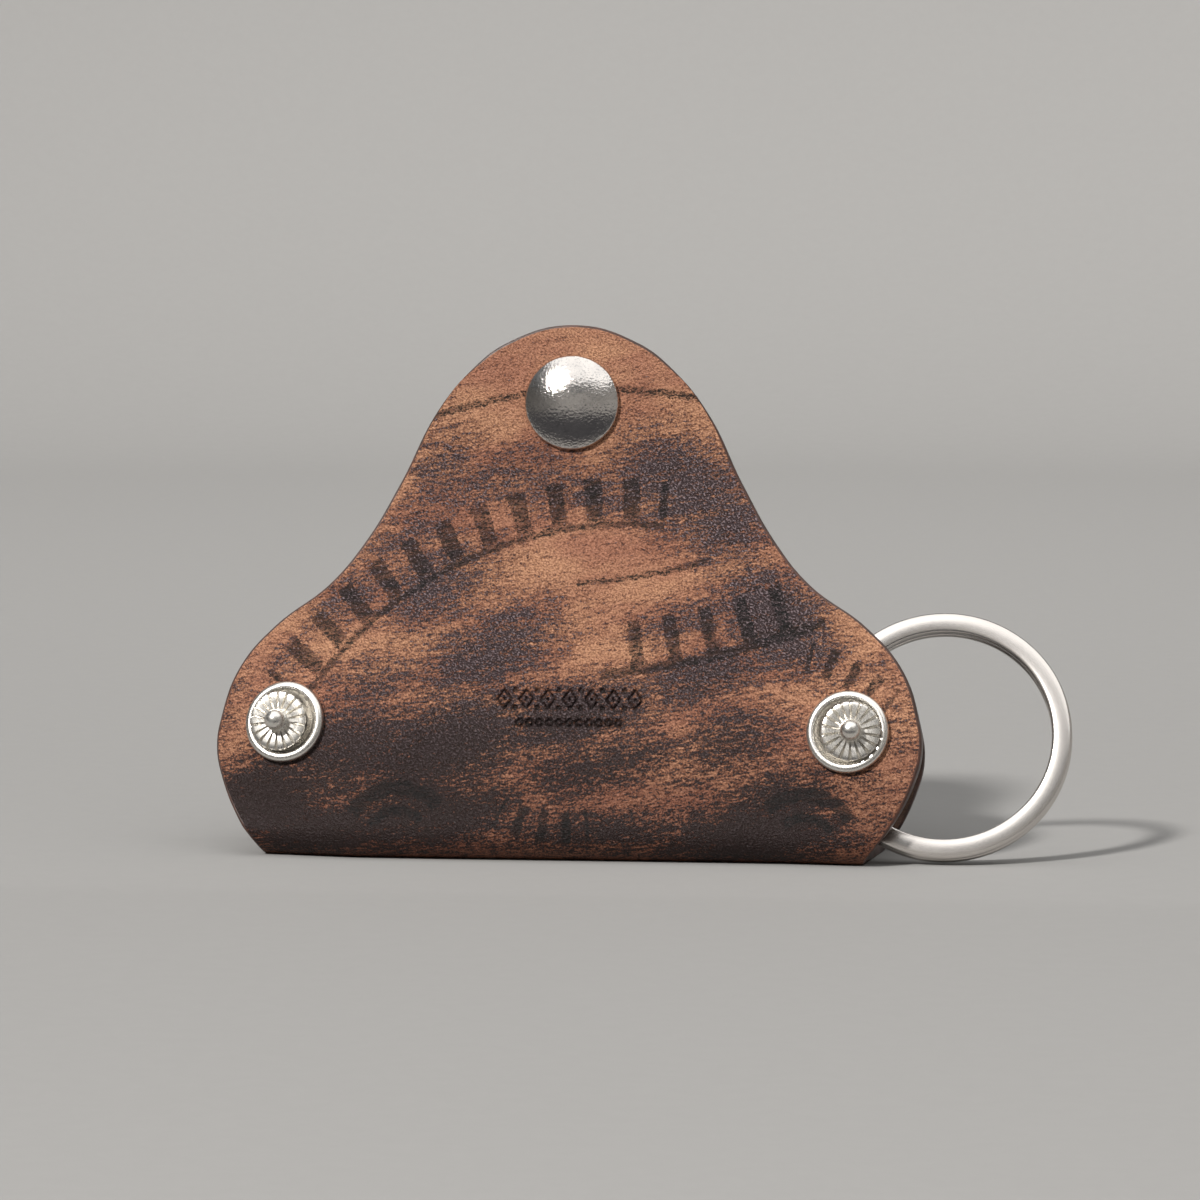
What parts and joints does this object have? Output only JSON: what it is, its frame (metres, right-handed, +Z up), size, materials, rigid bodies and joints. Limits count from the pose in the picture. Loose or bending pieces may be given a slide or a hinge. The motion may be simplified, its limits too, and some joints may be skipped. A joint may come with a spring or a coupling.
{
  "type": "key holder",
  "caption": "Bell-shaped leather key case, folded at the bottom and snapped at the top, with keys on posts and a split ring at one side.",
  "frame": {"origin": "middle of the flat underside of the fold, on the surface that the case stands on", "axes": "+X to the split ring's side, +Y to the rear wall, +Z up to the snap"},
  "size_m": [0.1102, 0.0248, 0.0678],
  "materials": {
    "leather": "waxed, rubbed with dark marbling",
    "nickel": "nickel plated",
    "polished_steel": "polished"
  },
  "bodies": {
    "case": {"leather_base": "leather", "left_front_eyelet": "nickel", "left_front_washer": "nickel", "left_rear_eyelet": "nickel", "left_rear_washer": "nickel", "right_front_eyelet": "nickel", "right_front_washer": "nickel", "right_rear_eyelet": "nickel", "right_rear_washer": "nickel"},
    "front_panel": {"front_flap": "leather", "snap_cap": "polished_steel", "snap_socket": "nickel", "snap_spring": "polished_steel"},
    "rear_panel": {"rear_flap": "leather", "snap_stud": "nickel", "snap_post": "nickel"},
    "left_post": {"left_rosette_screw": "nickel", "left_rear_screw": "nickel"},
    "right_post": {"right_rosette_screw": "nickel", "right_rear_screw": "nickel"},
    "ring": {"split_ring": "polished_steel"}
  },
  "joints": [
    {"name": "front_bend", "type": "hinge", "parent": "case", "child": "front_panel", "pos_m": [0, -0.00092, 0.034], "axis": [1, 0, 0], "range_deg": [0, 75], "stiffness_Nm_per_rad": 0.003},
    {"name": "rear_bend", "type": "hinge", "parent": "case", "child": "rear_panel", "pos_m": [0, 0.01261, 0.034], "axis": [-1, 0, 0], "range_deg": [0, 60], "stiffness_Nm_per_rad": 0.003},
    {"name": "left_post_turn", "type": "hinge", "parent": "case", "child": "left_post", "pos_m": [-0.0367, -0.00241, 0.0168], "axis": [-0.1726, -0.959, 0.2249], "continuous": true},
    {"name": "right_post_turn", "type": "hinge", "parent": "case", "child": "right_post", "pos_m": [0.0367, -0.00631, 0.0168], "axis": [0, -0.9744, 0.225], "continuous": true},
    {"name": "ring_swing", "type": "hinge", "parent": "case", "child": "ring", "pos_m": [0.0367, -0.00631, 0.0168], "axis": [0, -0.9744, 0.225], "range_deg": [0, 110]}
  ]
}
